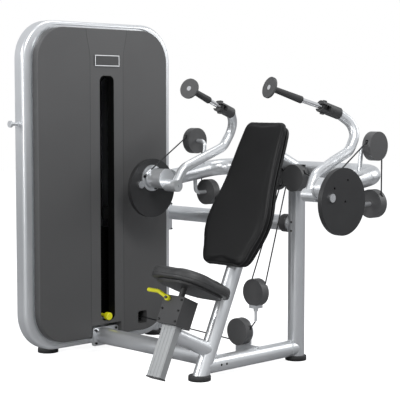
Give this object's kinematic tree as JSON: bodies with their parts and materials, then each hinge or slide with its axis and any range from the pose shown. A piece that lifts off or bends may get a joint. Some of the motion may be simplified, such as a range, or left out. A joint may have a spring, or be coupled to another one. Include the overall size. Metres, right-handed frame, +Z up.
{
  "type": "seated triceps extension machine",
  "caption": "Seated triceps extension machine with a reclined back pad, adjustable seat, two swinging lever arms with disc hubs and a side weight-stack tower.",
  "frame": {"origin": "floor point under the front foot of the leaning column", "axes": "+X towards the seated person's front, +Y towards their left, +Z up; the weight tower is on the -Y side"},
  "size_m": [1.0689, 1.578, 1.53],
  "materials": {
    "silver_paint": "satin metallic silver paint",
    "charcoal_panel": "dark grey satin",
    "bright_trim": "satin",
    "blank_label": "satin",
    "dark_steel": "satin black",
    "chrome_steel": "polished",
    "bolt_steel": "zinc plated",
    "rubber_black": "matte",
    "upholstery": "black vinyl",
    "dark_plastic": "satin black",
    "cable_black": "black coated cable",
    "alloy_post": "satin",
    "yellow_control": "yellow"
  },
  "bodies": {
    "frame": {"tower_rim": "silver_paint", "front_panel": "charcoal_panel", "panel_trim": "bright_trim", "blank_plate": "blank_label", "tower_back_shell": "silver_paint", "side_peg": "bright_trim", "guide_rods": "chrome_steel", "tower_chassis": "dark_steel", "rear_upright": "silver_paint", "yoke": "silver_paint", "rear_beam": "silver_paint", "tower_beam": "silver_paint", "rubber_feet": "rubber_black", "crossbar": "silver_paint", "crossbar_collar": "dark_steel", "outrigger": "silver_paint", "flange_bolts": "bolt_steel", "seat_housing_rear": "dark_plastic", "seat_housing_front": "dark_plastic", "housing_screws": "bolt_steel", "seat_beam": "silver_paint", "back_board": "dark_steel", "back_pad": "upholstery", "column": "silver_paint", "hub_housings": "silver_paint", "upper_cables": "cable_black", "cable_strands": "cable_black", "cable_riser": "cable_black", "cable_low": "cable_black", "cable_stack_drop": "cable_black", "pulley_covers": "dark_plastic", "center_bracket": "dark_steel", "pulley_hangers": "chrome_steel", "base_bracket": "chrome_steel"},
    "lever_left": {"lever_arm_left": "silver_paint", "hub_drum_left": "chrome_steel", "lever_disc_left": "dark_plastic", "disc_screws_left": "bolt_steel"},
    "handle_left": {"handle_rod_left": "chrome_steel", "handle_grip_left": "rubber_black", "hand_stop_left": "dark_plastic"},
    "lever_right": {"lever_arm_right": "silver_paint", "hub_drum_right": "chrome_steel", "lever_disc_right": "dark_plastic", "disc_screws_right": "bolt_steel"},
    "handle_right": {"handle_rod_right": "chrome_steel", "handle_grip_right": "rubber_black", "hand_stop_right": "dark_plastic"},
    "moving_pulley": {"cable_bight": "cable_black", "moving_cover": "dark_plastic", "moving_clevis": "chrome_steel"},
    "weight_stack": {"weight_plates": "dark_steel", "selector_rod": "chrome_steel"},
    "selector_pin": {"selector_pin": "yellow_control"},
    "seat": {"seat_post": "alloy_post", "post_cap": "rubber_black", "seat_board": "dark_steel", "seat_pad": "upholstery"},
    "seat_latch": {"seat_latch": "yellow_control"}
  },
  "joints": [
    {"name": "lever_left_swing", "type": "hinge", "parent": "frame", "child": "lever_left", "pos_m": [-0.23, 0.5, 0.819], "axis": [0, 1, 0], "range_deg": [0, 105]},
    {"name": "lever_right_swing", "type": "hinge", "parent": "frame", "child": "lever_right", "pos_m": [-0.23, -0.5, 0.819], "axis": [0, 1, 0], "range_deg": [0, 105]},
    {"name": "stack_lift", "type": "slide", "parent": "frame", "child": "weight_stack", "axis": [0, 0, 1], "range_m": [0, 0.085], "deforming": ["cable_stack_drop"]},
    {"name": "pulley_lift", "type": "slide", "parent": "frame", "child": "moving_pulley", "axis": [-0.3544, 0, 0.9351], "range_m": [0, 0.085], "deforming": ["cable_strands", "cable_riser"]},
    {"name": "selector_pull", "type": "slide", "parent": "weight_stack", "child": "selector_pin", "axis": [0, 1, 0], "range_m": [0, 0.055]},
    {"name": "handle_left_swivel", "type": "hinge", "parent": "lever_left", "child": "handle_left", "pos_m": [-0.42685, 0.30614, 1.14409], "axis": [-0.2916, 0.0486, 0.9553], "range_deg": [-15, 15]},
    {"name": "handle_right_swivel", "type": "hinge", "parent": "lever_right", "child": "handle_right", "pos_m": [-0.42685, -0.30614, 1.14409], "axis": [-0.2916, -0.0486, 0.9553], "range_deg": [-15, 15]},
    {"name": "seat_height", "type": "slide", "parent": "frame", "child": "seat", "axis": [-0.4147, 0, 0.91], "range_m": [0, 0.095]},
    {"name": "seat_latch_lift", "type": "hinge", "parent": "frame", "child": "seat_latch", "pos_m": [0.149, -0.031, 0.3605], "axis": [-0.91, 0, -0.4147], "range_deg": [0, 8], "stiffness_Nm_per_rad": 3, "springref_deg": -5.73}
  ],
  "couplings": [
    {"joint": "lever_right_swing", "follows": "lever_left_swing", "ratio": 1},
    {"joint": "stack_lift", "follows": "lever_left_swing", "m_per_rad": 0.044},
    {"joint": "pulley_lift", "follows": "lever_left_swing", "m_per_rad": 0.044}
  ]
}
